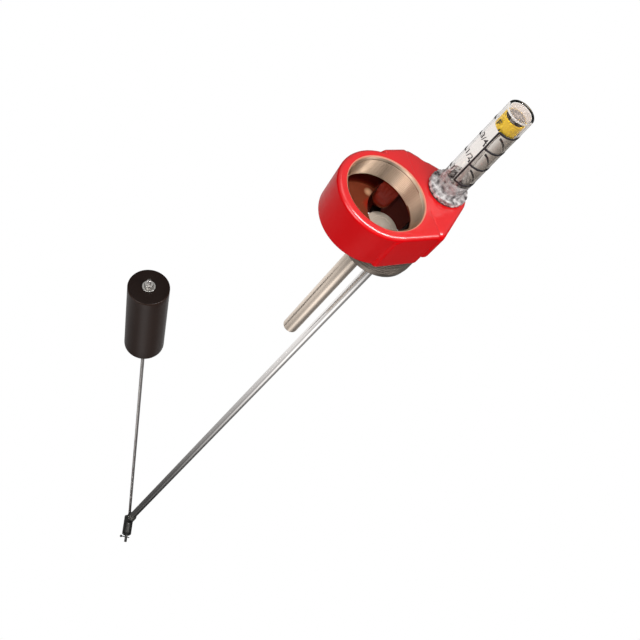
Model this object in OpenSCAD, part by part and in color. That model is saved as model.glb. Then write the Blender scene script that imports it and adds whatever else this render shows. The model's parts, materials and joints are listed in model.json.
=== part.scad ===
/* [Cast head] */
// Height of the head above its shoulder
head_h = 36; // [30:1:44]
// Outer radius of the round vent ring at its top
ring_r = 36; // [35:0.5:38]
// Outer radius of the round vent ring at its foot
ring_foot_r = 34; // [33:0.5:36]
// Distance from the tank thread axis to the vent port axis
vent_port_x = 30; // [28:0.5:32]
// Distance from the tank thread axis to the gauge vial axis
gauge_x = 20.5; // [20:0.5:21]
// Half width across the two side flats
flat_half_w = 36.2; // [36:0.1:37]
// Radius of the boss round the vial
boss_r = 17.5; // [17:0.5:20]
// Height of the boss underside above the shoulder
boss_floor = 8; // [5:0.5:9]
// Rounding of the upper edges of the casting
edge_r = 3.5; // [2:0.5:3.5]

/* [Ports] */
// Radius of the vent port's threaded wall
vent_port_r = 28.6; // [28:0.1:29]
// Depth of the vent port's threaded wall
vent_port_depth = 19; // [15:1:19]
// Outer radius of the tank thread hub
hub_r = 30; // [29.5:0.1:30.5]
// Length of the tank thread hub
hub_len = 31; // [24:1:36]
// Radius of the hub's bore
hub_bore_r = 25.4; // [25:0.1:26]

/* [Vial] */
// Height of the vial above the head
vial_h = 88; // [84:0.5:94]
// Radius of the vial at its flange
vial_base_r = 10.4; // [10:0.1:10.8]
// Radius of the vial at its closed top
vial_top_r = 10; // [9.8:0.1:10.4]
// Radius of the vial's flange
flange_r = 15; // [14:0.5:16]

/* [Float and arm] */
// Distance from the shoulder down to the hinge axis
pivot_drop = 700; // [300:1:900]
// Heading of the float arm about the vertical
arm_heading = 156; // [0:1:359]
// Lean of the float arm from upright when full
arm_lean = 15.5; // [12:0.5:30]
// Length along the arm to the underside of the float
arm_reach = 430; // [250:1:600]
// Radius of the float arm wire
wire_r = 1.6; // [1.5:0.1:1.7]
// Radius of the float
float_r = 17.5; // [15:0.5:22]
// Length of the float
float_len = 92; // [60:1:110]

/* [Vent tube] */
// Distance from the shoulder down to the vent tube's end
vent_tube_drop = 162; // [80:1:220]
// Outer radius of the vent tube
vent_tube_r = 6.35; // [6:0.05:7]

/* [Motion] */
// Travel of the float arm from full to empty
swing_deg = 150; // [90:5:160]
// Travel of the indicator from full to empty
indicator_travel = 66; // [50:1:68]

/* [Hidden] */

$fn = 72;
eps = 0.02;
run_gap = 0.05;

// Casting
foot_r = 1.5;
// Where the side flats start and end, near side then far side
flat_start = [-33.5, -18];
flat_end = [-2, -0.5];
flat_corner_r = 3;
flat_foot_r = 2.4;
// Round corners where the flats turn into the boss, near side then far side
boss_corner_r = 6.5;
boss_corner_x = [2.4, 2.5];
boss_top_r = 6;
// Centres of the waist's concave cuts, near side then far side
waist_r = 12;
waist_x = 21;
waist_y = [39.5, 36];
deck_z = 17;
// Height the hub's wall runs up to, inside the head
hub_root_z = boss_floor + 2;
hub_chamfer = 1.6;
shoulder_r = 31.5;
thread_chamfer = 1.6;
thread_floor = head_h - vent_port_depth;
chamber_r = 30.5;
chamber_floor = 4;
lobe_r = 7;
lobe_root = 1.5;
lobe_heading = 36;
lobe_z = 2.2;
lobe_slope = 8;
spigot_r = 9.6;
spigot_len = 11;

// Vial, gasket and indicator
gasket_t = 1.2;
flange_t = 3.6;
vial_bore_r = 8.3;
vial_crown_t = 2;
key_w = 1.2;
key_depth = 0.9;
grip_count = 18;
grip_r = 1.1;
vial_seat_z = head_h + gasket_t;
cup_r = 7.9;
cup_h = 11;
cup_wall = 1.2;
cup_floor_t = 1.4;
cup_top_gap = 4;
cup_z = head_h + vial_h - vial_crown_t - cup_top_gap - cup_h;

// Spindle, ribbon and tube
tube_r = 3.95;
tube_bore_r = 2.75;
tube_top_z = 26;
collar_r = 5.6;
collar_t = 1.2;
nut_af = 11;
nut_t = 4;
spindle_r = 1.5;
spindle_top_z = 27.5;
socket_r = 2.6;
socket_z = [tube_top_z + 0.4, 33.5];
ribbon_w = 4.6;
ribbon_t = 0.6;
slit_gap = 0.1;
slot_t = 1.1;
slot_w = 5.4;
ribbon_z = [31, head_h + vial_h - vial_crown_t - 2];
lead_deg_per_mm = swing_deg / indicator_travel;

// Gear pair: the cone distance runs along the common 45 degree pitch line
tooth_count = 10;
tooth_t = 0.65;
cone_in = 3.9;
cone_out = 5.3;
addendum = 0.45;
dedendum = 0.65;
gear_back = 7.2;
gear_hub_r = 2.6;
case_r = 5.5;
case_bore_r = 4.5;
case_near = 18;
case_far = 4.6;
case_far_wall = 2;
case_neck_z = [1.9, 15];
case_cavity_z = 2;
case_stop_z = 9.5;
bush_near = 8;

// Arm
arm_offset = 9;
bend_r = 4;
// The wire is a little fuller in its bend, and the straight parts run on into it
bend_swell = 0.06;
bend_lap = 0.4;
tail_y = 28;
cotter_y = 22;
cotter_r = 0.6;

// Float
float_edge_r = 1.2;
washer_t = 1;
washer_r = 5.6;
float_nut_af = 7;
float_nut_t = 3.6;
stud_over = 4;

// Whistle
vent_x = -8;
whistle_r = 12.9;
whistle_z = [-18, -9.5];
whistle_wall = 1.4;
cap_t = 1.5;
slit_h = 1.6;
carrier_z = -25;
carrier_t = 4;
carrier_hub_r = 9.5;
carrier_arm_w = 7;

function arc(cx, cy, r, a0, a1, steps) =
    [for (i = [0 : steps]) [cx + r * cos(a0 + (a1 - a0) * i / steps), cy + r * sin(a0 + (a1 - a0) * i / steps)]];

// Point in a gear's half section, dist along the pitch line and lift square to it
function gear_point(dist, lift) = [(dist + lift) / sqrt(2), (dist - lift) / sqrt(2)];

// Round post from z0 to z1 with a rounded upper edge and a small rounded foot
module rounded_post(r, z0, z1, top_r, low_r) {
    drafted_post(r, r, z0, z1, top_r, low_r);
}

// The same, with its foot drawn in or out from radius r to radius foot
module drafted_post(foot, r, z0, z1, top_r, low_r) {
    rotate_extrude()
        polygon(concat([[0, z0]],
                       arc(foot - low_r, z0 + low_r, low_r, -90, 0, 3),
                       arc(r - top_r, z1 - top_r, top_r, 0, 90, 6),
                       [[0, z1]]));
}

module tube(r_out, r_in, z0, z1) {
    difference() {
        translate([0, 0, z0]) cylinder(r = r_out, h = z1 - z0);
        translate([0, 0, z0 - 1]) cylinder(r = r_in, h = z1 - z0 + 2);
    }
}

module hex_nut(af, bore_r, h) {
    difference() {
        intersection() {
            cylinder(r = af / sqrt(3), h = h, $fn = 6);
            rotate_extrude()
                polygon([[0, 0], [af / 2, 0], [af / sqrt(3), h * 0.18],
                         [af / sqrt(3), h * 0.82], [af / 2, h], [0, h]]);
        }
        translate([0, 0, -1]) cylinder(r = bore_r, h = h + 2);
    }
}

// The hinge frame: y is the hinge axis, the arm leans towards -x
module at_pivot() {
    translate([gauge_x, 0, -pivot_drop]) rotate([0, 0, arm_heading - 180]) children();
}

// The arm frame: z runs up the arm, its origin is on the hinge axis
module along_arm() {
    at_pivot() translate([0, arm_offset, 0]) rotate([0, -arm_lean, 0]) children();
}

module side_flats() {
    hull()
        for (i = [0, 1]) {
            side = 2 * i - 1;
            translate([flat_start[i], side * (flat_half_w - flat_corner_r), 0])
                rounded_post(flat_corner_r, 0, head_h - edge_r, flat_corner_r, foot_r, $fn = 24);
            translate([flat_start[i] + edge_r, side * (flat_half_w - edge_r), 0])
                rounded_post(edge_r, 2 * edge_r, head_h, edge_r, foot_r, $fn = 32);
            translate([flat_end[i], side * (flat_half_w - edge_r), 0])
                rounded_post(edge_r, 0, head_h, edge_r, flat_foot_r, $fn = 32);
        }
}

module vial_boss() {
    hull() {
        translate([gauge_x, 0, 0]) rounded_post(boss_r, boss_floor, head_h, edge_r, foot_r, $fn = 48);
        for (i = [0, 1])
            translate([boss_corner_x[i], (2 * i - 1) * (flat_half_w - boss_corner_r), 0])
                rounded_post(boss_corner_r, boss_floor, head_h, boss_top_r, foot_r, $fn = 40);
    }
}

// Cutter for the concave waist, flared at its top to round the edge
module waist_cutter() {
    for (i = [0, 1])
        translate([waist_x, (2 * i - 1) * waist_y[i], 0])
            rotate_extrude()
                polygon(concat([[0, boss_floor - 1], [waist_r, boss_floor - 1]],
                               arc(waist_r + edge_r, head_h - edge_r, edge_r, 180, 90, 6),
                               [[waist_r + edge_r, head_h + 1], [0, head_h + 1]]));
}

module chamber_void() {
    translate([-vent_port_x, 0, chamber_floor])
        cylinder(r = chamber_r, h = thread_floor - chamber_floor);
}

// Bore of the vent port, with a cone below it that slopes the lobe's top
module vent_port_void() {
    lobe_top = thread_floor + 0.5;
    mouth = head_h + 0.2;
    translate([-vent_port_x, 0, 0])
        rotate_extrude()
            polygon([[0, lobe_top - lobe_slope], [vent_port_r - lobe_slope, lobe_top - lobe_slope],
                     [vent_port_r, lobe_top], [vent_port_r, head_h - thread_chamfer],
                     [vent_port_r + thread_chamfer + 0.2, mouth], [0, mouth]]);
}

module hub_void() {
    translate([0, 0, -hub_len - 1]) cylinder(r = hub_bore_r, h = hub_len + 1 + deck_z);
    translate([0, 0, -hub_len - eps])
        cylinder(r1 = hub_bore_r + 1, r2 = hub_bore_r, h = 1);
    translate([gauge_x, 0, hub_root_z]) cylinder(r = nut_af / sqrt(3) + 1, h = deck_z - hub_root_z);
}

module gauge_void() {
    translate([gauge_x, 0, 0]) {
        translate([0, 0, tube_top_z - collar_t - 0.8])
            cylinder(r = spigot_r, h = head_h);
        translate([0, 0, deck_z - 1]) cylinder(r = tube_r, h = head_h - deck_z);
    }
}

// Round lobe that hangs from the chamber's far wall over the hub's bore
module chamber_lobe() {
    foot = 2;
    translate([-vent_port_x, 0, 0]) rotate([0, 0, lobe_heading]) translate([chamber_r + lobe_root - lobe_r, 0, 0])
        rotate_extrude()
            polygon(concat([[0, lobe_z]],
                           arc(lobe_r - foot, lobe_z + foot, foot, -90, 0, 3),
                           [[lobe_r, thread_floor + 1], [0, thread_floor + 1]]));
}

module head_body() {
    translate([-vent_port_x, 0, 0]) drafted_post(ring_foot_r, ring_r, 0, head_h, edge_r, foot_r, $fn = 96);
    side_flats();
    difference() {
        vial_boss();
        waist_cutter();
    }
    translate([0, 0, -hub_len]) cylinder(r1 = hub_r - hub_chamfer, r2 = hub_r, h = hub_chamfer);
    translate([0, 0, hub_chamfer - hub_len]) cylinder(r = hub_r, h = hub_len - hub_chamfer);
    cylinder(r = shoulder_r, h = hub_root_z);
}

module head_casting() {
    color("firebrick")
        difference() {
            union() {
                difference() {
                    head_body();
                    chamber_void();
                    hub_void();
                }
                chamber_lobe();
            }
            vent_port_void();
            gauge_void();
        }
}

module vial() {
    grip_step = 360 / grip_count;
    body_h = head_h + vial_h - vial_seat_z;
    color([0.85, 0.88, 0.88, 0.4])
        translate([gauge_x, 0, vial_seat_z]) {
            difference() {
                union() {
                    cylinder(r1 = vial_base_r, r2 = vial_top_r, h = body_h);
                    cylinder(r = flange_r, h = flange_t);
                    translate([0, 0, -gasket_t - spigot_len + 0.8])
                        cylinder(r = spigot_r - run_gap, h = spigot_len + gasket_t);
                }
                translate([0, 0, -gasket_t - spigot_len - 1])
                    cylinder(r = vial_bore_r, h = body_h - vial_crown_t + spigot_len + gasket_t + 1);
                for (i = [0 : grip_count - 1])
                    rotate([0, 0, (i + 0.5) * grip_step]) translate([flange_r + 0.3, 0, -1])
                        cylinder(r = grip_r, h = flange_t + 2, $fn = 16);
            }
            difference() {
                translate([-key_w / 2, vial_bore_r - key_depth, flange_t])
                    cube([key_w, key_depth + 0.6, body_h - vial_crown_t - flange_t]);
                translate([0, 0, flange_t - 1]) tube(vial_base_r + 4, vial_bore_r + 0.4, 0, body_h);
            }
        }
}

module vial_gasket() {
    color("dimgray")
        translate([gauge_x, 0, 0]) tube(flange_r - 1, spigot_r, head_h, vial_seat_z);
}

module indicator_cup() {
    color("gold")
        translate([gauge_x, 0, cup_z])
            difference() {
                cylinder(r = cup_r, h = cup_h);
                translate([0, 0, cup_floor_t]) cylinder(r = cup_r - cup_wall, h = cup_h);
                translate([-slot_w / 2, -slot_t / 2, -1]) cube([slot_w, slot_t, cup_floor_t + 2]);
                translate([-key_w / 2 - 0.4, cup_r - key_depth - 0.4, -1])
                    cube([key_w + 0.8, key_depth + 2, cup_h + 2]);
            }
}

module ribbon() {
    length = ribbon_z[1] - ribbon_z[0];
    start = (cup_z + cup_floor_t / 2 - ribbon_z[0]) * lead_deg_per_mm;
    color("silver")
        translate([gauge_x, 0, ribbon_z[0]]) rotate([0, 0, start])
            linear_extrude(height = length, twist = length * lead_deg_per_mm, slices = 48, $fn = 4)
                square([ribbon_w, ribbon_t], center = true);
}

module ribbon_socket() {
    start = (cup_z + cup_floor_t / 2 - ribbon_z[0]) * lead_deg_per_mm;
    color("goldenrod")
        translate([gauge_x, 0, 0])
            difference() {
                translate([0, 0, socket_z[0]]) cylinder(r = socket_r, h = socket_z[1] - socket_z[0]);
                translate([0, 0, socket_z[0] - 1]) cylinder(r = spindle_r, h = spindle_top_z - socket_z[0] + 1);
                translate([0, 0, ribbon_z[0]]) rotate([0, 0, start])
                    linear_extrude(height = socket_z[1], twist = socket_z[1] * lead_deg_per_mm, slices = 24, $fn = 4)
                        square([ribbon_w + slit_gap, ribbon_t + slit_gap], center = true);
            }
}

module spindle() {
    low = -pivot_drop + gear_point(cone_in, -dedendum)[1];
    color("silver")
        translate([gauge_x, 0, low]) cylinder(r = spindle_r, h = spindle_top_z - low);
}

module spindle_bush(z0, z1) {
    color("goldenrod")
        translate([gauge_x, 0, 0]) tube(tube_bore_r, spindle_r + run_gap, z0, z1);
}

module guide_tube() {
    color("lightgray")
        translate([gauge_x, 0, 0]) {
            tube(tube_r, tube_bore_r, -pivot_drop + case_stop_z, tube_top_z);
            tube(collar_r, tube_r - eps, tube_top_z - collar_t - 0.8, tube_top_z - 0.8);
        }
}

module guide_tube_nut() {
    color("gray")
        translate([gauge_x, 0, deck_z - nut_t]) hex_nut(nut_af, tube_r, nut_t);
}

module whistle_body() {
    color("darkgray")
        translate([vent_x, 0, 0])
            difference() {
                translate([0, 0, whistle_z[0]]) cylinder(r = whistle_r, h = whistle_z[1] - whistle_z[0]);
                translate([0, 0, whistle_z[0] + whistle_wall])
                    cylinder(r = whistle_r - whistle_wall, h = whistle_z[1] - whistle_z[0]);
                translate([0, 0, whistle_z[0] - 1]) cylinder(r = vent_tube_r, h = whistle_wall + 2);
                for (a = [90, 210, 330])
                    rotate([0, 0, a]) translate([0, -3, whistle_z[1] - 3 - slit_h])
                        cube([whistle_r + 1, 6, slit_h]);
            }
}

module whistle_cap() {
    color("darkgray")
        translate([vent_x, 0, whistle_z[1]])
            rotate_extrude()
                polygon([[0, 0], [whistle_r, 0], [whistle_r, cap_t - 0.5], [whistle_r - 0.5, cap_t], [0, cap_t]]);
}

module whistle_carrier() {
    color("slategray")
        difference() {
            intersection() {
                translate([vent_x, 0, carrier_z]) {
                    cylinder(r = carrier_hub_r, h = carrier_t);
                    for (a = [60, 180, 300])
                        rotate([0, 0, a]) translate([0, -carrier_arm_w / 2, 0])
                            cube([2 * hub_bore_r, carrier_arm_w, carrier_t]);
                }
                translate([0, 0, carrier_z - 1]) cylinder(r = hub_bore_r, h = carrier_t + 2);
            }
            translate([vent_x, 0, carrier_z - 1]) cylinder(r = vent_tube_r, h = carrier_t + 2);
        }
}

module vent_tube() {
    wall = 1.2;
    color("tan")
        translate([vent_x, 0, 0])
            rotate_extrude()
                polygon([[vent_tube_r - wall, whistle_z[0] + whistle_wall + 1],
                         [vent_tube_r, whistle_z[0] + whistle_wall + 1],
                         [vent_tube_r, -vent_tube_drop + 0.5],
                         [vent_tube_r - 0.5, -vent_tube_drop],
                         [vent_tube_r - wall, -vent_tube_drop]]);
}

// Straight bevel gear with its apex at the origin and its back towards +z
module bevel_gear(bore_r, phase) {
    root_in = gear_point(cone_in, -dedendum);
    root_out = gear_point(cone_out, -dedendum);
    difference() {
        union() {
            rotate_extrude()
                polygon([[0, root_in[1]], root_in, root_out, [root_out[0], root_out[1] + 1],
                         [gear_hub_r, root_out[1] + 1], [gear_hub_r, gear_back], [0, gear_back]]);
            intersection() {
                rotate_extrude()
                    polygon([gear_point(cone_in + 0.1, addendum), gear_point(cone_out - 0.1, addendum),
                             gear_point(cone_out - 0.1, -dedendum - 0.2), gear_point(cone_in + 0.1, -dedendum - 0.2)]);
                for (i = [0 : tooth_count / 2 - 1])
                    rotate([0, 0, phase + i * 360 / tooth_count])
                        translate([-cone_out, -tooth_t / 2, 0])
                            cube([2 * cone_out, tooth_t, gear_back]);
            }
        }
        translate([0, 0, -1]) cylinder(r = bore_r, h = gear_back + 2);
    }
}

module spindle_gear() {
    color("goldenrod")
        at_pivot() bevel_gear(spindle_r, 90);
}

module axle_gear() {
    color("goldenrod")
        at_pivot() rotate([90, 0, 0]) bevel_gear(wire_r, 90 + 180 / tooth_count);
}

module gear_case() {
    color([0.18, 0.18, 0.17])
        at_pivot()
            difference() {
                union() {
                    translate([0, case_far, 0]) rotate([90, 0, 0]) cylinder(r = case_r, h = case_far + case_near);
                    translate([0, 0, case_neck_z[0]]) cylinder(r = case_r, h = case_neck_z[1] - case_neck_z[0]);
                }
                translate([0, case_far - case_far_wall, 0]) rotate([90, 0, 0])
                    cylinder(r = case_bore_r, h = case_far + case_near);
                translate([0, case_far + 1, 0]) rotate([90, 0, 0]) cylinder(r = wire_r + run_gap, h = 6);
                translate([0, 0, case_cavity_z]) cylinder(r = case_bore_r, h = case_stop_z - 1 - case_cavity_z);
                cylinder(r = tube_bore_r, h = case_stop_z + 1);
                translate([0, 0, case_stop_z]) cylinder(r = tube_r, h = case_neck_z[1]);
            }
}

module axle_bush() {
    color("goldenrod")
        at_pivot()
            rotate([90, 0, 0]) tube(case_bore_r, wire_r + run_gap, bush_near, case_near + 1);
}

module float_arm() {
    reach = arm_reach + float_len + 2 * washer_t + float_nut_t + stud_over;
    color([0.3, 0.29, 0.27])
        difference() {
            union() {
                at_pivot() translate([0, arm_offset - bend_r + bend_lap, 0]) rotate([90, 0, 0])
                    cylinder(r = wire_r, h = arm_offset - bend_r + bend_lap + tail_y);
                along_arm() {
                    translate([0, 0, bend_r - bend_lap]) cylinder(r = wire_r, h = reach - bend_r + bend_lap);
                    translate([0, -bend_r, bend_r]) rotate([0, 90, 0])
                        rotate_extrude(angle = 90) translate([bend_r, 0]) circle(r = wire_r + bend_swell);
                }
            }
            at_pivot() translate([-5, -cotter_y, 0]) rotate([0, 90, 0]) cylinder(r = cotter_r, h = 10);
        }
}

module axle_cotter() {
    color("dimgray")
        at_pivot() translate([0, -cotter_y, 0]) rotate([0, 90, 0]) {
            translate([0, 0, -5]) cylinder(r = cotter_r, h = 9);
            translate([0, 0, -6.4]) sphere(r = 1.5, $fn = 24);
        }
}

module float() {
    color([0.12, 0.11, 0.1])
        along_arm()
            translate([0, 0, arm_reach])
                difference() {
                    rounded_post(float_r, 0, float_len, float_edge_r, float_edge_r);
                    translate([0, 0, -1]) cylinder(r = wire_r, h = float_len + 2);
                }
}

module float_washer(z0) {
    color("silver")
        along_arm() tube(washer_r, wire_r, z0, z0 + washer_t);
}

module float_nut(z0) {
    color("silver")
        along_arm() translate([0, 0, z0]) hex_nut(float_nut_af, wire_r, float_nut_t);
}

head_casting();
vial();
vial_gasket();
indicator_cup();
ribbon();
ribbon_socket();
spindle();
spindle_bush(tube_top_z - 6, tube_top_z);  // upper_bush
spindle_bush(case_stop_z - pivot_drop, case_stop_z - pivot_drop + 6);  // lower_bush
guide_tube();
guide_tube_nut();
whistle_body();
whistle_cap();
whistle_carrier();
vent_tube();
gear_case();
spindle_gear();
axle_gear();
axle_bush();
float_arm();
axle_cotter();
float();
float_washer(arm_reach - washer_t);  // float_lower_washer
float_nut(arm_reach - washer_t - float_nut_t);  // float_lower_nut
float_washer(arm_reach + float_len);  // float_upper_washer
float_nut(arm_reach + float_len + washer_t);  // float_upper_nut
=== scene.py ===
import json
import math

import bpy
from mathutils import Matrix, Vector

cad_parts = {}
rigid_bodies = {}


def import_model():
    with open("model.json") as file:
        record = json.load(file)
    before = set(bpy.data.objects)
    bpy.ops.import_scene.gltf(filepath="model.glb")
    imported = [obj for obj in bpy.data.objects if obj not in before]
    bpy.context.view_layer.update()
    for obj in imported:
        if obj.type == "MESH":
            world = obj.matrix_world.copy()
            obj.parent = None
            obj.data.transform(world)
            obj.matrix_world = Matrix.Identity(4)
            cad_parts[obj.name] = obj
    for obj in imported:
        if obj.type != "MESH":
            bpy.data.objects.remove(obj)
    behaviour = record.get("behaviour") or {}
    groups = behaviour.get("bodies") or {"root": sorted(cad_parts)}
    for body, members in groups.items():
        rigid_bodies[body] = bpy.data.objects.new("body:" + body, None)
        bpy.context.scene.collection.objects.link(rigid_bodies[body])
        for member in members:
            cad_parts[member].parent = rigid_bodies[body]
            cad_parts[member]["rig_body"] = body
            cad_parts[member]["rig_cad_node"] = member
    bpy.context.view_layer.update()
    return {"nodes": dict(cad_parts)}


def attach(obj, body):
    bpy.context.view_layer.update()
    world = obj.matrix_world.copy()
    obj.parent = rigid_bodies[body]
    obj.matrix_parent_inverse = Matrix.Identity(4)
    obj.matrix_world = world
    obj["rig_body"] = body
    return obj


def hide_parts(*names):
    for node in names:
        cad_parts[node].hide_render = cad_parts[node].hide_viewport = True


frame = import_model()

MM = 0.001

# Measures of the gauge, in millimetres and degrees. Heights count from the shoulder of the tank
# thread, and x from the thread's axis.

# Head
HEAD_TOP = 36
HUB_FOOT = -31
PORT_X = -30
PORT_R = 28.6
PORT_FOOT = 17.3
LIP_Z = 34.3
GAUGE_X = 20.5

# Threads: radius, depth, pitch, start and end. The ridge's half widths are shares of the pitch.
PORT_THREAD = (PORT_R - 0.4, -0.4, 1.2, 17.6, LIP_Z)
TANK_THREAD = (29.25, 0.7, 2.2, -28.5, -1.2)
THREAD_SIDES = 96
CREST_SHARE = 0.10
ROOT_SHARE = 0.47
ROOT_SUNK = 0.1

# Whistle: its plate is seen through the port
WHISTLE_X = -8
PLATE_R = 12.9
PLATE_Z = -9.5

# Hinge, arm and float
PIVOT_Z = -700
ARM_HEADING = 156
ARM_LEAN = 15.5
ARM_OFFSET = 9
WIRE_R = 1.6
CASE_REACH = 22
FLOAT_Z = 430
FLOAT_LEN = 92
FLOAT_R = 17.5
FLOAT_EDGE = 1.4

# Tubes: outer radius, bore radius, foot and top
GUIDE_TUBE = (3.95, 2.75, PIVOT_Z + 9.5, 26)
GUIDE_COLLAR = (5.6, 3.9, 24, 25.2)
VENT_TUBE = (6.35, 5.15, -162, -15.6)
THREAD_SLEEVE = (29.35, 27, HUB_FOOT, -0.4)

# Vial and its cup
SPIGOT_FOOT = 26.4
FLANGE_Z = 37.2
FROSTED_TO = 45
CLOUDY_TO = 53
VIAL_TOP = 124
VIAL_BORE = 8.9
VIAL_SKIN = 9.2
CROWN_R = 7.9
CROWN_EDGE = 1.1
SCALLOPS = 18
SCALLOP_DEPTH = 0.75
SCALLOPS_FROM = 13.5
CUP_Z = 107
CUP_R = 7.9
CUP_WALL = 1.2

# Marks on the vial: height and numeral of each
MARKS = ((108.5, "F"), (91.8, "3/4"), (74.5, "1/2"), (56.6, "1/4"))
LINE_AZIMUTH = 206
LINE_HALF_WIDTH = 0.62
LINE_PROUD = 0.2
BAR_PROUD = 0.22
MARK_SUNK = 0.25
NUMERAL_AZIMUTH = 178
NUMERAL_SIZE = 6.4
NUMERAL_RISE = 3.8

# Bars of each mark: width, first heading and sweep
RING = (1.9, LINE_AZIMUTH, 174)
STUB = (2.0, LINE_AZIMUTH - 11, 5)
DASH = (1.3, 104, 34)

# The picture, in metres
CAMERA_PLACE = Vector((-0.4397, -0.2903, 0.4982))
CAMERA_RIGHT = Vector((0.83667, -0.32361, 0.44188))
CAMERA_BACK = Vector((-0.53874, -0.34091, 0.77041))
CAMERA_LENS = 57.357
FLOOR_Z = -1.25
FLOOR_SIZE = 12
CARD_R = 8.6
CARD_RISE = 0.01
CARD_GLOW = 1.6
SOFT_LIGHT = 0.24

# Each lamp: its two ends, its width and its power
LAMPS = (
    ("left_strip", (-0.66, -0.02, 1.345), (0.18, -0.84, 1.23), 0.018, 16),
    ("right_strip", (0.18, -0.84, 1.23), (0.90, -0.81, 0.90), 0.012, 8),
    ("overhead", (-0.9, 0.55, 1.1), (-0.1, 0.95, 1.1), 0.6, 1.5),
    ("side_fill", (-1.3, -0.75, 0.35), (-1.3, 0.15, 0.35), 0.6, 8),
)

# Thresholds for welding vertices, in metres
WELD = 1e-7
COPY_WELD = 2e-6
TEXT_WELD = 1e-6

# Corners sharper than this many degrees are edges to break
EDGE_ANGLE = 40


# Camera, at the photograph's view

def placed(x_axis, y_axis, z_axis, place):
    """The matrix of an object that stands at a place with these axes."""
    axes = Matrix((x_axis, y_axis, z_axis)).transposed().to_4x4()
    return Matrix.Translation(place) @ axes


def make_camera():
    camera = bpy.data.objects.new("camera", bpy.data.cameras.new("camera"))
    bpy.context.scene.collection.objects.link(camera)
    up = CAMERA_BACK.cross(CAMERA_RIGHT)
    camera.matrix_world = placed(CAMERA_RIGHT, up, CAMERA_BACK, CAMERA_PLACE)
    camera.data.lens = CAMERA_LENS
    camera.data.clip_start = 0.01
    camera.data.clip_end = 50
    bpy.context.scene.camera = camera


# Shader maths

class Value:
    """A shader socket that sums can be written on."""

    def __init__(self, finish, socket):
        self.finish = finish
        self.socket = socket

    def __add__(self, other):
        return self.finish.maths("ADD", self, other)

    def __mul__(self, other):
        return self.finish.maths("MULTIPLY", self, other)

    def __gt__(self, other):
        return self.finish.maths("GREATER_THAN", self, other)

    def __lt__(self, other):
        return self.finish.maths("LESS_THAN", self, other)

    def between(self, low, high):
        """The number low where the value is 0 and high where it is 1."""
        return self * (high - low) + low


class Finish:
    """A procedural material, built round one Principled shader."""

    def __init__(self, name, **constants):
        self.material = bpy.data.materials.new(name)
        self.material.use_nodes = True
        self.tree = self.material.node_tree
        self.shader = self.tree.nodes["Principled BSDF"]
        self.out(**constants)
        self.place = self.add("TexCoord")["Object"]

    def set(self, node, name, value):
        """Links a value to a node's input, or writes a number or colour on it."""
        socket = node.inputs[name]
        if isinstance(value, Value):
            self.tree.links.new(value.socket, socket)
        elif isinstance(value, tuple) and len(value) == 3 and socket.type == "RGBA":
            socket.default_value = (*value, 1)
        else:
            socket.default_value = value

    def add(self, kind, inputs=None, **settings):
        """Adds a node and gives its outputs by name."""
        node = self.tree.nodes.new("ShaderNode" + kind)
        for name, value in settings.items():
            setattr(node, name, value)
        for name, value in (inputs or {}).items():
            self.set(node, name, value)
        return {output.name: Value(self, output) for output in node.outputs if output.enabled}

    def out(self, **inputs):
        """Sets inputs of the Principled shader, named with _ for a space."""
        for name, value in inputs.items():
            self.set(self.shader, name.replace("_", " "), value)
        return self

    def bump(self, height, distance, strength):
        inputs = {"Height": height, "Distance": distance, "Strength": strength}
        return self.out(Normal=self.add("Bump", inputs)["Normal"])

    def maths(self, operation, *terms):
        return self.add("Math", dict(enumerate(terms)), operation=operation)["Value"]

    def rise(self, value, start, end):
        """From 0 where the value is at the start to 1 where it is at the end."""
        inputs = {"Value": value, "From Min": start, "From Max": end}
        return self.add("MapRange", inputs)["Result"]

    def axis(self, name, place=None):
        return self.add("SeparateXYZ", {"Vector": place or self.place})[name]

    def centred(self, centre):
        """The place on the piece, seen from a centre in millimetres."""
        inputs = {"Vector": self.place, "Location": tuple(-c * MM for c in centre)}
        return self.add("Mapping", inputs)["Vector"]

    def stretched(self, scale):
        """The place on the piece, scaled along each axis."""
        return self.add("Mapping", {"Vector": self.place, "Scale": scale})["Vector"]

    def length(self, vector):
        return self.add("VectorMath", {0: vector}, operation="LENGTH")["Value"]

    def radius(self):
        """How far the place is from the z axis."""
        inputs = {"X": self.axis("X"), "Y": self.axis("Y")}
        return self.length(self.add("CombineXYZ", inputs)["Vector"])

    def heading(self, place=None):
        """The heading about the z axis: 0 at -180 degrees, 0.5 along x and 1 at 180."""
        angle = self.maths("ARCTAN2", self.axis("Y", place), self.axis("X", place))
        return angle * (0.5 / math.pi) + 0.5

    def noise(self, scale, detail, place=None):
        inputs = {"Vector": place or self.place, "Scale": scale, "Detail": detail}
        return self.add("TexNoise", inputs)["Fac"]

    def mix(self, fac, a, b, blend="MIX"):
        inputs = {0: fac, 6: a, 7: b}
        return self.add("Mix", inputs, data_type="RGBA", blend_type=blend)["Result"]

    def ramp(self, fac, *stops):
        """Tones along fac: each stop is a position and a grey or a colour."""
        output = self.add("ValToRGB", {"Fac": fac})["Color"]
        elements = output.socket.node.color_ramp.elements
        while len(elements) < len(stops):
            elements.new(1)
        for element, (position, tone) in zip(elements, stops):
            element.position = position
            element.color = (*tone, 1) if isinstance(tone, tuple) else (tone, tone, tone, 1)
        return output


# Finishes

def red_paint():
    finish = Finish("red_paint", Metallic=0.0, Specular_IOR_Level=0.10,
                    Coat_IOR=2.1, Coat_Roughness=0.26)
    cast = finish.noise(420, 4)
    pit = finish.noise(1500, 2)
    broad = finish.noise(38, 2)
    # The top and its rounded edge are rubbed to a shine
    rubbed = finish.rise(finish.axis("Z"), 33.8 * MM, 34.8 * MM)
    finish.out(Base_Color=finish.mix(broad, (0.64, 0.001, 0.002), (0.74, 0.002, 0.006)),
               Roughness=cast.between(0.25, 0.40), Coat_Weight=rubbed)
    return finish.bump(cast + pit * 0.35, 0.00010, 0.4)


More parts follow.
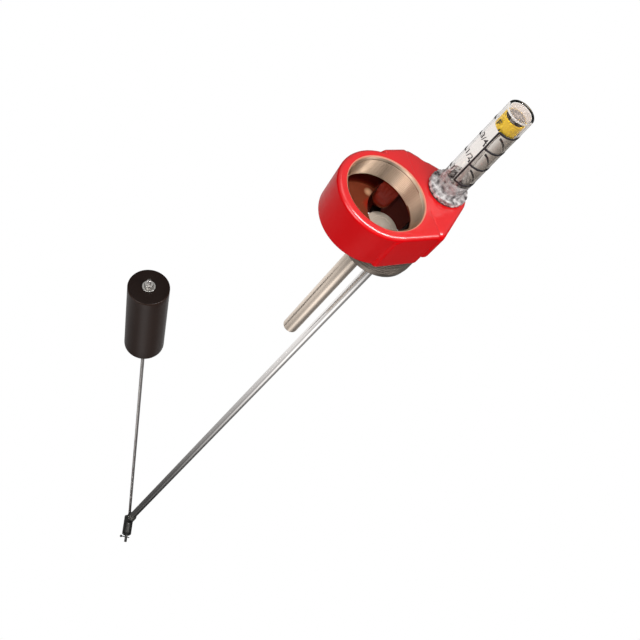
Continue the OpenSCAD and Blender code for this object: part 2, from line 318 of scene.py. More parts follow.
# Painted light in the chamber, a highlight and a lit red patch: centre, reach and colour
CHAMBER_PAINTED_HIGHLIGHTS = (
    ((-17.5, 21.5, 4.5), 4, (0.60, 0.32, 0.18)),
    ((-20.5, 11, 3), 6.5, (0.30, 0.010, 0.003)),
)

# The chamber's floor lies below this height, and its far wall beyond this radius and x
CHAMBER_FLOOR = 5.5
FAR_WALL_R = 24.5
FAR_WALL_X = -10
FAR_WALL_TOP = 17

# Painted light and shade on the far wall, from the foot of the hub up to the deck: lighter red low
# down, painted shade near the deck
FAR_WALL_PAINTED_LIGHT_AND_SHADE = (
    (0.0, (0.30, 0.040, 0.020)), (0.45, (0.30, 0.040, 0.020)), (0.60, (0.10, 0.016, 0.008)),
    (0.75, (0.03, 0.008, 0.004)), (1.0, (0.03, 0.008, 0.004)),
)


def chamber_painted_light_and_shade():
    finish = Finish("chamber_painted_light_and_shade", Metallic=0.0, Specular_IOR_Level=0.08)
    blotch = finish.noise(70, 4)
    fine = finish.noise(700, 3)
    low = finish.axis("Z") < CHAMBER_FLOOR * MM
    # Painted shade: the chamber is painted a far darker red than the outside paint
    colour = finish.mix(blotch, (0.085, 0.006, 0.002), (0.165, 0.012, 0.005))
    # Painted light: below the floor's height the colour is mixed towards lit tones
    lit = finish.mix(blotch, (0.15, 0.03, 0.010), (0.24, 0.07, 0.03))
    colour = finish.mix(low * 0.55, colour, lit)
    # Painted highlight and lit patch, each fading out over its reach
    for centre, reach, tone in CHAMBER_PAINTED_HIGHLIGHTS:
        away = finish.length(finish.centred(centre))
        colour = finish.mix(finish.rise(away, reach * MM, reach * MM * 0.3), colour, tone)
    # Painted light and shade on the far wall, by height
    far_wall = (finish.radius() > FAR_WALL_R * MM) * (finish.axis("X") > FAR_WALL_X * MM)
    height = finish.rise(finish.axis("Z"), HUB_FOOT * MM, FAR_WALL_TOP * MM)
    colour = finish.mix(far_wall, colour, finish.ramp(height, *FAR_WALL_PAINTED_LIGHT_AND_SHADE))
    finish.out(Base_Color=colour, Roughness=fine.between(0.45, 0.65))
    return finish.bump(fine + blotch, 0.0003, 0.5)


def drawn_steel(name, dark, pale, rough, shaded_from=1000):
    """Steel with lines along z, and painted shade: dark above a height in millimetres."""
    finish = Finish(name, Metallic=1.0)
    lines = finish.noise(4, 3, finish.stretched((260, 260, 5)))
    cloud = finish.noise(55, 3)
    colour = finish.mix(lines * 0.5 + cloud * 0.5, dark, pale)
    # Painted shade above the given height
    painted_shade_mask = finish.axis("Z") > shaded_from * MM
    return finish.out(Base_Color=finish.mix(painted_shade_mask, colour, (0.07, 0.04, 0.03)),
                      Roughness=lines.between(rough - 0.05, rough + 0.07))


def bare_metal(name, rough, depth=0.00005):
    """Finely speckled metal that has no colour yet, and its specks."""
    finish = Finish(name, Metallic=1.0)
    speck = finish.noise(900, 3)
    finish.out(Roughness=speck.between(rough - 0.08, rough + 0.12))
    return finish.bump(speck, depth, 0.5), speck


def machined(name, dark, pale, rough, depth=0.00005):
    """Bare metal, mottled in two tones."""
    finish, speck = bare_metal(name, rough, depth)
    mottle = finish.noise(70, 3) * 0.7 + speck * 0.3
    return finish.out(Base_Color=finish.mix(mottle, dark, pale))


def wire_steel():
    """Bare metal that is brighter towards the float."""
    metal, _ = bare_metal("dark_wire", 0.28)
    high = metal.rise(metal.axis("Z"), -660 * MM, -360 * MM)
    return metal.out(Base_Color=metal.mix(high, (0.20, 0.185, 0.18), (0.56, 0.53, 0.51)))


# Painted light and shade on the port's thread, by heading, as bright as the photograph shows it
PORT_PAINTED_LIGHT_AND_SHADE = (
    (0.0, 0.55), (0.33, 0.60), (0.44, 1.0), (0.585, 0.95), (0.62, 0.45), (0.665, 0.17),
    (0.715, 0.26), (0.75, 0.48), (0.79, 0.55), (0.90, 0.55),
)


def cut_thread():
    metal, _ = bare_metal("cut_thread", 0.30)
    # Painted light and shade on the thread, by heading about the port
    painted_light_and_shade = metal.ramp(metal.heading(metal.centred((PORT_X, 0, 0))), *PORT_PAINTED_LIGHT_AND_SHADE)
    colour = metal.mix(metal.noise(70, 3), (0.80, 0.575, 0.40), (1.0, 0.74, 0.54))
    return metal.out(Base_Color=metal.mix(1.0, colour, painted_light_and_shade, "MULTIPLY"))


# What x and y count for on the vial, so that they add up to -1 at its left outline in the
# photograph and to 1 at its right
VIAL_ACROSS = (51.5, -85.7)

# Painted shade: the clear wall is darker towards its right outline
VIAL_PAINTED_SHADE = (
    (0.0, (0.985, 0.955, 0.935)), (0.45, (0.95, 0.925, 0.90)), (0.64, (0.74, 0.70, 0.665)),
    (0.82, (0.48, 0.44, 0.405)), (1.0, (0.36, 0.33, 0.30)),
)


def clear_plastic():
    finish = Finish("clear_plastic", Transmission_Weight=1.0, IOR=1.46)
    cloud = finish.noise(60, 2)
    seen = finish.centred((GAUGE_X, 0, 0))
    across = finish.axis("X", seen) * VIAL_ACROSS[0] + finish.axis("Y", seen) * VIAL_ACROSS[1]
    # Beside the cup and above it the painted shade is weak, and the wall is nearly even
    below_cup = finish.rise(finish.axis("Z"), 108.5 * MM, 107.5 * MM)
    tone = finish.ramp(across * below_cup.between(0.12, 0.50) + 0.5, *VIAL_PAINTED_SHADE)
    finish.out(Base_Color=tone, Roughness=cloud.between(0.0, 0.04))
    return finish.bump(finish.noise(70, 2), 0.0003, 0.10)


def crown_plastic():
    finish = Finish("crown_plastic", Transmission_Weight=0.75, IOR=1.46)
    cloud = finish.noise(140, 3)
    finish.out(Base_Color=finish.mix(cloud, (0.70, 0.60, 0.54), (0.92, 0.84, 0.79)),
               Roughness=cloud.between(0.04, 0.16))
    return finish.bump(cloud, 0.0003, 0.3)


FROSTED_TONES = (
    (0.31, (0.05, 0.04, 0.042)), (0.44, (0.26, 0.235, 0.235)), (0.56, (0.50, 0.465, 0.46)),
    (0.72, (0.80, 0.76, 0.75)),
)
CLOUDY_TONES = (
    (0.31, (0.20, 0.18, 0.18)), (0.42, (0.70, 0.66, 0.65)), (0.56, (0.86, 0.82, 0.81)),
    (0.72, (0.95, 0.92, 0.91)),
)


def frosted_plastic(name, clear_share, tones):
    finish = Finish(name, Transmission_Weight=clear_share, IOR=1.46, Coat_Weight=0.6)
    cells = finish.add("TexVoronoi", {"Vector": finish.place, "Scale": 260.0}, feature="F1")
    chips = cells["Distance"]
    cloud = finish.noise(260, 3)
    finish.out(Base_Color=finish.ramp(chips * 0.55 + cloud * 0.55, *tones),
               Roughness=cloud.between(0.12, 0.4))
    return finish.bump(chips + cloud, 0.0016, 0.8)


def moulded(name, low, high, rough, grain=700, depth=0.00004):
    """Plain plastic, rubber, ink or paint."""
    finish = Finish(name, Metallic=0.0)
    cloud = finish.noise(60, 3)
    fine = finish.noise(grain, 3)
    finish.out(Base_Color=finish.mix(cloud, low, high),
               Roughness=fine.between(rough - 0.07, rough + 0.1))
    return finish.bump(fine, depth, 0.5)


def foam(name, low, high, shine):
    finish = Finish(name, Metallic=0.0, Specular_IOR_Level=shine)
    cell = finish.noise(1700, 3)
    lump = finish.noise(120, 3)
    finish.out(Base_Color=finish.mix(finish.noise(45, 4), low, high),
               Roughness=cell.between(0.24, 0.42))
    return finish.bump(cell + lump * 2.0, 0.00010, 0.5)


# Modelling

def clear():
    """Leaves edit mode, with nothing selected."""
    if bpy.context.mode != "OBJECT":
        bpy.ops.object.mode_set(mode="OBJECT")
    bpy.ops.object.select_all(action="DESELECT")


def choose(*pieces):
    """Selects these pieces alone, and makes the first the active one."""
    clear()
    for piece in pieces:
        piece.select_set(True)
    bpy.context.view_layer.objects.active = pieces[0]


def named(name):
    piece = bpy.context.object
    piece.name = piece.data.name = name
    return piece


def pick(piece, test, kind="VERT"):
    """In edit mode, selects the vertices whose place passes the test, or the faces whose
    place and normal do."""
    bpy.ops.object.mode_set(mode="EDIT")
    bpy.ops.mesh.select_mode(type=kind)
    bpy.ops.mesh.select_all(action="DESELECT")
    bpy.ops.object.mode_set(mode="OBJECT")
    if kind == "VERT":
        for vertex in piece.data.vertices:
            vertex.select = test(vertex.co / MM)
    else:
        for face in piece.data.polygons:
            face.select = test(face.center / MM, face.normal)
    bpy.ops.object.mode_set(mode="EDIT")


def off_axis(place, x=0):
    """How far a place is from the upright line at x, in millimetres."""
    return math.hypot(place.x - x, place.y)


def tidy(weld=WELD, outward=True):
    """Welds the active piece's vertices, and turns its faces outward."""
    bpy.ops.object.mode_set(mode="EDIT")
    bpy.ops.mesh.select_all(action="SELECT")
    bpy.ops.mesh.remove_doubles(threshold=weld)
    if outward:
        bpy.ops.mesh.normals_make_consistent(inside=False)
    bpy.ops.object.mode_set(mode="OBJECT")


def dissolve():
    """Joins the triangles of each flat into one face."""
    bpy.ops.object.mode_set(mode="EDIT")
    bpy.ops.mesh.select_all(action="SELECT")
    bpy.ops.mesh.dissolve_limited(angle_limit=math.radians(0.5))
    bpy.ops.object.mode_set(mode="OBJECT")


def smooth(angle):
    bpy.ops.object.shade_smooth_by_angle(angle=math.radians(angle))


def modified(piece, kind, **settings):
    modifier = piece.modifiers.new(kind.lower(), kind)
    for name, value in settings.items():
        setattr(modifier, name, value)
    bpy.ops.object.modifier_apply(modifier=modifier.name)


def at(x=0.0, y=0.0, z=0.0):
    return Matrix.Translation((x * MM, y * MM, z * MM))


def turn(axis, degrees):
    return Matrix.Rotation(math.radians(degrees), 4, axis)


HINGE = at(GAUGE_X, 0, PIVOT_Z) @ turn("Z", ARM_HEADING - 180)
ARM = HINGE @ at(0, ARM_OFFSET, 0) @ turn("Y", -ARM_LEAN)


def seat(piece, where):
    """Carries a piece from the origin to its place, and leaves that in its mesh."""
    piece.matrix_world = where @ piece.matrix_world
    bpy.ops.object.transform_apply(location=True, rotation=True, scale=True)


def turned(name, profile, sides=96, bored=False, angle=32):
    """Turns a piece about the z axis: a circle, extruded and resized along the (radius, height)
    points of its profile. A bored piece's profile closes on itself."""
    clear()
    r, z = profile[0]
    bpy.ops.mesh.primitive_circle_add(vertices=sides, radius=r * MM, location=(0, 0, z * MM),
                                      fill_type="NOTHING" if bored else "NGON")
    piece = named(name)
    bpy.ops.object.transform_apply(location=True)
    bpy.ops.object.mode_set(mode="EDIT")
    bpy.ops.mesh.select_mode(type="VERT")
    bpy.ops.mesh.select_all(action="SELECT")
    for r1, z1 in profile[1:] + ([profile[0]] if bored else []):
        rise = (0, 0, (z1 - z) * MM)
        bpy.ops.mesh.extrude_region_move(TRANSFORM_OT_translate={"value": rise})
        bpy.ops.transform.resize(value=(r1 / r, r1 / r, 1), center_override=(0, 0, z1 * MM))
        r, z = r1, z1
    tidy()
    smooth(angle)
    return piece


def rounded(r, z, radius, start, end, steps=5):
    """Points of a corner's arc about (r, z), from one angle to the other."""
    points = []
    for i in range(steps + 1):
        angle = math.radians(start + (end - start) * i / steps)
        points.append((r + radius * math.cos(angle), z + radius * math.sin(angle)))
    return points


def tube(name, r_out, r_in, z0, z1, edge):
    """A tube with its four edges rounded."""
    profile = rounded(r_out - edge, z0 + edge, edge, -90, 0)
    profile += rounded(r_out - edge, z1 - edge, edge, 0, 90)
    profile += rounded(r_in + edge, z1 - edge, edge, 90, 180)
    profile += rounded(r_in + edge, z0 + edge, edge, 180, 270)
    return turned(name, profile, bored=True)


def thread(name, r, depth, pitch, z0, z1):
    """A screw thread's ridge, depth counted outwards from r, or inwards where it is negative."""
    clear()
    turns = int((z1 - z0) / pitch)
    root = r - ROOT_SUNK if depth > 0 else r + ROOT_SUNK
    bpy.ops.mesh.primitive_plane_add(size=1 * MM, location=(r * MM, 0, z0 * MM),
                                     rotation=(math.radians(90), 0, 0))
    piece = named(name)
    bpy.ops.object.transform_apply(location=True, rotation=True)
    for vertex in piece.data.vertices:
        crest = (vertex.co.x > r * MM) == (depth > 0)
        side = 1 if vertex.co.z > z0 * MM else -1
        reach = r + depth if crest else root
        height = z0 + pitch / 2 + side * pitch * (CREST_SHARE if crest else ROOT_SHARE)
        vertex.co = (reach * MM, 0, height * MM)
    steps = THREAD_SIDES * turns
    modified(piece, "SCREW", angle=2 * math.pi * turns, screw_offset=pitch * turns * MM,
             steps=steps, render_steps=steps, use_merge_vertices=False)
    tidy()
    smooth(25)
    return piece


def smoothed_copy(name, node, angle=32):
    """A copy of a solid from the frame, with its loose triangles joined and its rounds smooth."""
    piece = frame["nodes"][node].copy()
    piece.data = piece.data.copy()
    piece.parent = None
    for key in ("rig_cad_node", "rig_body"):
        if key in piece:
            del piece[key]
    bpy.context.scene.collection.objects.link(piece)
    choose(piece)
    piece.name = piece.data.name = name
    tidy(COPY_WELD, outward=False)
    smooth(angle)
    return piece


def broken_edges(name, node, width):
    """A smoothed copy with its edges rounded over."""
    piece = smoothed_copy(name, node)
    dissolve()
    modified(piece, "BEVEL", width=width * MM, segments=2, limit_method="ANGLE",
             angle_limit=math.radians(EDGE_ANGLE), use_clamp_overlap=True)
    smooth(EDGE_ANGLE)
    return piece


def joined(name, *pieces):
    choose(*pieces)
    bpy.ops.object.join()
    return named(name)


def dress(piece, finish, body, slot, *nodes):
    """Paints a piece and ties it to its body, and hides the nodes that it stands for."""
    piece.data.materials.clear()
    piece.data.materials.append(finish.material)
    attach(piece, body)
    if nodes:
        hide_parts(*nodes)


def coat(piece, finish, test):
    """Gives the faces that pass the test a finish of their own."""
    choose(piece)
    pick(piece, test, "FACE")
    piece.data.materials.append(finish.material)
    piece.active_material_index = len(piece.data.materials) - 1
    bpy.ops.object.material_slot_assign()
    bpy.ops.object.mode_set(mode="OBJECT")


def repaint(finish, *nodes):
    """Gives solids of the frame a finish, and leaves their shapes alone."""
    for node in nodes:
        materials = frame["nodes"][node].data.materials
        materials.clear()
        materials.append(finish.material)


# Stage

def mix_shaders(tree, factor, first, second, output):
    """Shows the first shader where the factor is 0 and the second where it is 1."""
    mixer = tree.nodes.new("ShaderNodeMixShader")
    tree.links.new(factor, mixer.inputs[0])
    tree.links.new(first.outputs[0], mixer.inputs[1])
    tree.links.new(second.outputs[0], mixer.inputs[2])
    tree.links.new(mixer.outputs[0], tree.nodes[output].inputs["Surface"])


def make_floor():
    """A pale floor that lights the gauge from below, and looks white itself."""
    clear()
    bpy.ops.mesh.primitive_plane_add(size=FLOOR_SIZE, location=(0, 0, FLOOR_Z))
    floor = named("floor")
    bpy.ops.object.transform_apply(location=True)
    finish = Finish("pale_floor", Base_Color=(0.40, 0.40, 0.40), Roughness=0.9)
    path = finish.add("LightPath")
    seen = finish.maths("MAXIMUM", path["Is Camera Ray"], path["Is Glossy Ray"])
    seen = finish.maths("MAXIMUM", seen, path["Is Transmission Ray"])
    white = finish.tree.nodes.new("ShaderNodeEmission")
    white.inputs["Color"].default_value = (1, 1, 1, 1)
    mix_shaders(finish.tree, seen.socket, finish.shader, white, "Material Output")
    floor.data.materials.append(finish.material)


# The cards' greys by heading, and from the middle out over their reach in metres
CARDS_AROUND = (
    (0.0, 0.56), (0.03, 0.50), (0.08, 0.42), (0.13, 0.52), (0.165, 1.0), (0.22, 1.0),
    (0.275, 0.36), (0.34, 0.16), (0.44, 0.15), (0.53, 0.30), (0.61, 0.60), (0.95, 0.62),
)
CARDS_OUTWARD = (
    (0.17, 0.06), (0.23, 0.20), (0.29, 0.32), (0.36, 0.46), (0.455, 0.72), (0.53, 0.92),
    (0.60, 1.0), (0.79, 1.0), (0.86, 0.10), (1.0, 0.04),
)
CARDS_REACH = 1.6


def make_cards():
    """Grey cards laid round the foot, which glow and which only reflections see: painted
    reflections on the gauge.
    """
    clear()
    bpy.ops.mesh.primitive_circle_add(vertices=96, radius=CARD_R, fill_type="NGON",
                                      location=(0, 0, FLOOR_Z + CARD_RISE))
    card = named("grey_cards")
    bpy.ops.object.transform_apply(location=True)
    finish = Finish("card_greys", Base_Color=(0, 0, 0), Specular_IOR_Level=0.0, Roughness=1.0,
                    Emission_Strength=CARD_GLOW)
    around = finish.ramp(finish.heading(), *CARDS_AROUND)
    outward = finish.ramp(finish.radius() * (1 / CARDS_REACH), *CARDS_OUTWARD)
    finish.out(Emission_Color=finish.mix(1.0, around, outward, "MULTIPLY"))
    card.data.materials.append(finish.material)
    card.visible_camera = False
    card.visible_diffuse = False
    card.visible_shadow = False
    card.visible_transmission = False


def make_world():
    """White behind the gauge, and a softer light on it."""
    world = bpy.data.worlds.new("studio")
    bpy.context.scene.world = world
    world.use_nodes = True
    tree = world.node_tree
    soft = tree.nodes["Background"]
    white = tree.nodes.new("ShaderNodeBackground")
    for shader, strength in ((soft, SOFT_LIGHT), (white, 1.0)):
        shader.inputs["Color"].default_value = (1, 1, 1, 1)
        shader.inputs["Strength"].default_value = strength
    path = tree.nodes.new("ShaderNodeLightPath")
    seen = tree.nodes.new("ShaderNodeMath")
    seen.operation = "MAXIMUM"
    tree.links.new(path.outputs["Is Camera Ray"], seen.inputs[0])
    tree.links.new(path.outputs["Is Transmission Ray"], seen.inputs[1])
    mix_shaders(tree, seen.outputs[0], soft, white, "World Output")


def make_lamps():
    """Area lamps, each turned about its own length to face the origin."""
    for name, start, end, width, power in LAMPS:
        start, end = Vector(start), Vector(end)
        middle = (start + end) / 2
        data = bpy.data.lights.new(name, "AREA")
        data.shape = "RECTANGLE"
        data.size, data.size_y = (end - start).length, width
        data.energy = power
        lamp = bpy.data.objects.new(name, data)
        bpy.context.scene.collection.objects.link(lamp)
        along = (end - start).normalized()
        away = (middle - along * middle.dot(along)).normalized()
        lamp.matrix_world = placed(along, away.cross(along), away, middle)
        lamp.visible_camera = False


# Head

# Radii and heights that part the head's faces between its finishes
PORT_WALL_R, PORT_WALL_TOP = 29, 34.5
CHAMBER_R, CHAMBER_FOOT, CHAMBER_TOP = 30.8, 0.5, 17.2
HUB_BORE_R, HUB_WALL_R, HUB_TOP = 25.6, 26, -0.3
LIP_R, LIP_STEEPNESS = 30.3, 0.95
SOCKET_R, SOCKET_FOOT, SOCKET_TOP = 9.9, 15, 35.9

# The hub is drawn in, so that it lies under the sleeve of its thread
DRAWN_IN = 0.97
DRAWN_R, DRAWN_TOP = 28, -0.5


def in_chamber(p, n):
    in_port = off_axis(p, PORT_X) < PORT_WALL_R and p.z < PORT_WALL_TOP
    under_port = off_axis(p, PORT_X) < CHAMBER_R and p.z > CHAMBER_FOOT
    in_hub = off_axis(p) < HUB_BORE_R
    return in_port or p.z < CHAMBER_TOP and (under_port or in_hub)


def on_port_lip(p, n):
    return off_axis(p, PORT_X) < LIP_R and LIP_Z < p.z < HEAD_TOP and n.z < LIP_STEEPNESS


def in_socket(p, n):
    return off_axis(p, GAUGE_X) < SOCKET_R and SOCKET_FOOT < p.z < SOCKET_TOP


def on_hub(p, n):
    return p.z < HUB_TOP and off_axis(p) > HUB_WALL_R


def make_port():
    """The port's thread, on a liner whose lip stands a little proud of the paint."""
    bore, mouth, lip = PORT_R + 0.15, PORT_R - 0.45, PORT_R + 0.75
    profile = [(bore, PORT_FOOT), (bore, 34.2), (lip + 0.12, 35.1), (lip, 35.3),
               (mouth, 34.1), (mouth, PORT_FOOT)]
    liner = turned("liner", profile, 128, bored=True)
    port = joined("vent_port_thread", liner, thread("ridge", *PORT_THREAD))
    seat(port, at(PORT_X))
    dress(port, cut_thread(), "gauge_body", "bright_steel")


def make_tank_thread(iron):
    sleeve = tube("sleeve", *THREAD_SLEEVE, 1.0)
    hub = joined("tank_thread", sleeve, thread("ridge", *TANK_THREAD))
    dress(hub, iron, "gauge_body", "dark_case")


def make_head():
    head = smoothed_copy("head", "head_casting")
    dissolve()
    pick(head, lambda p: p.z < DRAWN_TOP and off_axis(p) > DRAWN_R)
    bpy.ops.transform.resize(value=(DRAWN_IN, DRAWN_IN, 1), center_override=(0, 0, 0))
    bpy.ops.object.mode_set(mode="OBJECT")
    modified(head, "WEIGHTED_NORMAL", keep_sharp=True)
    dress(head, red_paint(), "gauge_body", "red_paint", "head_casting")

    iron = machined("bare_hub", (0.14, 0.105, 0.085), (0.38, 0.32, 0.27), 0.32, 0.0002)
    thin_paint = moulded("thin_paint", (0.50, 0.16, 0.10), (0.66, 0.30, 0.20), 0.3)
    bare_socket = moulded("bare_socket", (0.30, 0.28, 0.265), (0.42, 0.395, 0.375), 0.5)
    coat(head, chamber_painted_light_and_shade(), in_chamber)
    coat(head, thin_paint, on_port_lip)
    coat(head, bare_socket, in_socket)
    coat(head, iron, on_hub)
    make_port()
    make_tank_thread(iron)


def make_whistle():
    plate = moulded("whistle_plate", (0.54, 0.46, 0.37), (0.72, 0.62, 0.51), 0.5, 1400, 0.00012)
    # Painted shade: the whistle's shell and spider, deep in the port, are painted near black
    dark = moulded("whistle_painted_shade", (0.020, 0.011, 0.008), (0.045, 0.026, 0.020), 0.6)
    # The plate's face has a ring sunk in it and a small dimple
    z = PLATE_Z
    profile = [(PLATE_R, z)] + rounded(PLATE_R - 0.5, z + 1.0, 0.5, 0, 90)
    profile += [(9.0, z + 1.5), (8.6, z + 1.15), (8.0, z + 1.15), (7.6, z + 1.45)]
    profile += [(2.2, z + 1.45), (1.6, z + 1.1)]
    cap = turned("whistle_top", profile)
    seat(cap, at(WHISTLE_X))
    dress(cap, plate, "gauge_body", "grey_plate", "whistle_cap")
    shell = broken_edges("whistle_shell", "whistle_body", 0.3)
    dress(shell, dark, "gauge_body", "grey_plate", "whistle_body")
    spider = broken_edges("whistle_spider", "whistle_carrier", 0.4)
    dress(spider, dark, "gauge_body", "grey_plate", "whistle_carrier")


def make_tubes():
    # Above -29 mm, inside the hub, the drop tube is painted dark as painted shade
    steel = drawn_steel("drawn_tube", (0.85, 0.81, 0.785), (0.96, 0.925, 0.90), 0.19, -29)
    warm = drawn_steel("vent_tube_steel", (0.80, 0.67, 0.56), (0.92, 0.79, 0.67), 0.27)
    guide = joined("drop_tube", tube("drop_tube", *GUIDE_TUBE, 0.3),
                   tube("collar", *GUIDE_COLLAR, 0.3))
    seat(guide, at(GAUGE_X))
    dress(guide, steel, "gauge_body", "bright_steel", "guide_tube")
    vent = tube("whistle_tube", *VENT_TUBE, 0.5)
    seat(vent, at(WHISTLE_X))
    dress(vent, warm, "gauge_body", "vent_steel", "vent_tube")


# Vial

def vial_profile():
    """The vial's outline: spigot, flange, fillet, wall and crown."""
    z, top, edge = FLANGE_Z, VIAL_TOP, CROWN_EDGE
    profile = rounded(9.1, SPIGOT_FOOT, 0.4, -90, 0) + [(9.5, z)]
    profile += rounded(14.3, z + 0.5, 0.5, -90, 0) + rounded(14.2, z + 3.0, 0.6, 0, 90)
    profile += rounded(11.2, z + 4.4, 0.8, -90, -180, 4)
    profile += [(10.38, 45.2), (10.34, 53.5)]
    profile += rounded(10.0 - edge, top - edge, edge, 0, 90, 6)
    return profile + [(8.6, top - 0.35), (7.6, top - 0.7), (3.0, top - 0.9)]


def scallop(shell):
    """Cuts the grip into the flange's edge."""
    for vertex in shell.data.vertices:
        x, y, _ = vertex.co / MM
        r = math.hypot(x, y)
        if r > SCALLOPS_FROM:
            wave = math.cos(SCALLOPS * (math.atan2(y, x) - math.radians(10)))
            cut = SCALLOP_DEPTH * max(0, wave) ** 2
            vertex.co.x *= (r - cut) / r
            vertex.co.y *= (r - cut) / r


def make_vial():
    top = VIAL_TOP
    shell = turned("shell", vial_profile(), 144)
    scallop(shell)
    hollow = [(VIAL_BORE, 24)] + rounded(VIAL_BORE - 0.8, top - 2.5, 0.8, 0, 90)
    bore = turned("bore", hollow + [(2.0, top - 1.7)], 144)
    choose(shell)
    modified(shell, "BOOLEAN", object=bore, solver="EXACT")
    bpy.data.objects.remove(bore)
    smooth(35)
    shell = named("gauge_vial")
    seat(shell, at(GAUGE_X))
    dress(shell, clear_plastic(), "gauge_body", "clear_vial", "vial")

    def outside(p):
        return off_axis(p, GAUGE_X) > VIAL_SKIN

    coat(shell, frosted_plastic("frosted_plastic", 0.25, FROSTED_TONES),
         lambda p, n: p.z < FROSTED_TO and outside(p))
    coat(shell, frosted_plastic("cloudy_plastic", 0.6, CLOUDY_TONES),
         lambda p, n: FROSTED_TO < p.z < CLOUDY_TO and outside(p))
    coat(shell, crown_plastic(), lambda p, n: p.z > top - 2 and off_axis(p, GAUGE_X) < CROWN_R)


def vial_r(z):
    """Outer radius of the vial at a height."""
    return 10.4 - 0.4 * (z - 41.6) / 82


def curved_bar(name, r, z, width, start, sweep):
    """A small bar spun about the z axis, from one heading through a sweep."""
    clear()
    bpy.ops.mesh.primitive_plane_add(size=1 * MM, rotation=(math.radians(90), 0, 0))
    bar = named(name)
    bpy.ops.object.transform_apply(rotation=True)
    for vertex in bar.data.vertices:
        out = BAR_PROUD if vertex.co.x > 0 else -MARK_SUNK
        up = width / 2 if vertex.co.z > 0 else -width / 2
        # Its outer face is the narrower one
        vertex.co = ((r + out) * MM, 0, (z + up * (0.7 if out > 0 else 1)) * MM)
    seat(bar, turn("Z", start))
    bpy.ops.object.mode_set(mode="EDIT")
    bpy.ops.mesh.select_all(action="SELECT")
    bpy.ops.mesh.spin(steps=max(6, int(sweep / 5)), angle=-math.radians(sweep),
                      center=(0, 0, 0), axis=(0, 0, 1))
    tidy()
    smooth(30)
    return bar


def upright_line():
    """The line that joins the marks, along the vial's slope."""
    clear()
    bpy.ops.mesh.primitive_cube_add(size=1 * MM)
    line = named("line")
    for vertex in line.data.vertices:
        out = LINE_PROUD if vertex.co.x > 0 else -MARK_SUNK
        side = LINE_HALF_WIDTH if vertex.co.y > 0 else -LINE_HALF_WIDTH
        z = MARKS[0][0] if vertex.co.z > 0 else MARKS[-1][0] - 0.4
        vertex.co = ((vial_r(z) + out) * MM, side * MM, z * MM)
    seat(line, turn("Z", LINE_AZIMUTH))
    return line


def numeral(words, z):
    """A moulded number, wrapped round the vial."""
    clear()
    bpy.ops.object.text_add()
    text = bpy.context.object.data
    text.body = words
    text.size = NUMERAL_SIZE * MM
    text.extrude = 0.15 * MM
    text.offset = 0.05 * MM
    text.resolution_u = 4
    text.align_x = "CENTER"
    text.align_y = "CENTER"
    bpy.ops.object.convert(target="MESH")
    piece = named("numeral")
    r = vial_r(z) + 0.02
    for vertex in piece.data.vertices:
        across, up, out = vertex.co / MM
        heading = math.radians(NUMERAL_AZIMUTH) + across / r
        reach = (r + out) * MM
        vertex.co = (reach * math.cos(heading), reach * math.sin(heading), (z + up) * MM)
    tidy(TEXT_WELD)
    return piece


def make_marks():
    ink = moulded("mark_ink", (0.012, 0.010, 0.012), (0.030, 0.026, 0.028), 0.45)
    grey_ink = moulded("numeral_ink", (0.04, 0.035, 0.035), (0.09, 0.08, 0.08), 0.45)
    bars = []
    numbers = []
    for z, words in MARKS:
        bars.append(curved_bar("ring", vial_r(z), z, *RING))
        bars.append(curved_bar("stub", vial_r(z), z + 1.0, *STUB))
        numbers.append(curved_bar("dash", vial_r(z), z, *DASH))
        numbers.append(numeral(words, z + NUMERAL_RISE))
    for name, finish, pieces in (("level_marks", ink, [upright_line()] + bars),
                                 ("level_numbers", grey_ink, numbers)):
        marks = joined(name, *pieces)
        seat(marks, at(GAUGE_X))
        dress(marks, finish, "gauge_body", "clear_vial")


def make_indicator():
    yellow = moulded("yellow_cup", (0.98, 0.60, 0.004), (1.0, 0.70, 0.012), 0.36)
    shade = moulded("cup_shade", (0.07, 0.06, 0.055), (0.13, 0.115, 0.10), 0.5)
    r, bore, z = CUP_R, CUP_R - CUP_WALL, CUP_Z
    profile = [(r - 0.4, z), (r, z + 0.4)] + rounded(r - 0.4, z + 10.6, 0.4, 0, 90)
    profile += rounded(bore + 0.3, z + 10.7, 0.3, 90, 180)
    profile += rounded(bore - 0.6, z + 2.0, 0.6, 0, -90) + [(1.0, z + 1.4)]
    cup = turned("level_cup", profile)
    seat(cup, at(GAUGE_X))
    dress(cup, yellow, "indicator", "yellow_plastic", "indicator_cup")
    # The bore's wall is in shade
    coat(cup, shade,
         lambda p, n: p.z > z + 1 and n.z < 0.5 and off_axis(p, GAUGE_X) < bore + 0.1)


# Float and hardware

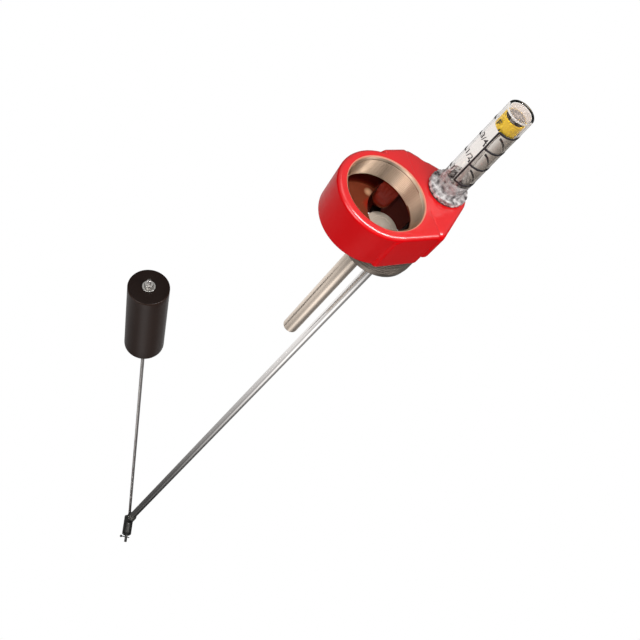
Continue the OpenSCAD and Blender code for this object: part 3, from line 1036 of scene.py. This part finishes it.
def make_float():
    black = foam("closed_foam", (0.020, 0.009, 0.006), (0.030, 0.015, 0.010), 0.22)
    end = foam("foam_top_painted_shade", (0.008, 0.004, 0.003), (0.014, 0.008, 0.006), 0.10)
    r, edge, top = FLOAT_R, FLOAT_EDGE, FLOAT_LEN
    profile = [(WIRE_R, 0.8), (4.0, 0.2)] + rounded(r - edge, edge, edge, -90, 0, 6)
    profile += [(r, z) for z in range(12, 85, 12)]
    profile += rounded(r - edge, top - edge, edge, 0, 90, 6)
    profile += [(12, top - 0.05), (7, top - 0.1), (WIRE_R, top - 0.6)]
    body = turned("foam_float", profile, 128, bored=True, angle=50)
    seat(body, ARM @ at(0, 0, FLOAT_Z))
    dress(body, black, "float_lever", "black_foam", "float")
    axis = ARM.col[2].xyz
    # Painted shade: the float's top faces are painted darker than its side
    coat(body, end, lambda p, n: n.dot(axis) > 0.9)


def make_hardware():
    steel = machined("bright_hardware", (0.45, 0.43, 0.40), (0.68, 0.66, 0.63), 0.28)
    case = machined("dark_case", (0.045, 0.045, 0.042), (0.085, 0.083, 0.078), 0.42)
    brass = machined("turned_brass", (0.45, 0.31, 0.10), (0.62, 0.45, 0.18), 0.3)
    rubber = moulded("gasket_rubber", (0.02, 0.02, 0.02), (0.04, 0.04, 0.04), 0.7)
    ribbon = moulded("dull_ribbon", (0.62, 0.59, 0.57), (0.74, 0.71, 0.69), 0.5)
    repaint(ribbon, "ribbon", "ribbon_socket")
    repaint(steel, "spindle")
    # The guide tube's nut in the hub gets the dark case finish as painted shade
    repaint(case, "axle_bush", "guide_tube_nut")
    repaint(brass, "upper_bush", "lower_bush", "spindle_gear", "axle_gear")
    repaint(rubber, "vial_gasket")
    for node in ("float_lower_washer", "float_lower_nut", "float_upper_washer", "float_upper_nut"):
        piece = broken_edges("bright_" + node, node, 0.25)
        dress(piece, steel, "float_lever", "bright_steel", node)
    pin = broken_edges("axle_pin", "axle_cotter", 0.1)
    dress(pin, case, "float_lever", "dark_case", "axle_cotter")
    hinge = broken_edges("hinge_case", "gear_case", 1.1)
    dress(hinge, case, "gauge_body", "dark_case", "gear_case")
    wire = smoothed_copy("float_wire", "float_arm", angle=40)
    dress(wire, wire_steel(), "float_lever", "dark_steel", "float_arm")
    # Near the pivot the wire looks like the case
    pivot = HINGE.translation / MM
    coat(wire, case, lambda p, n: (p - pivot).length < CASE_REACH)


make_camera()
make_floor()
make_cards()
make_world()
make_lamps()
make_head()
make_whistle()
make_tubes()
make_vial()
make_marks()
make_indicator()
make_float()
make_hardware()

bpy.context.scene.view_settings.view_transform = "Standard"
clear()
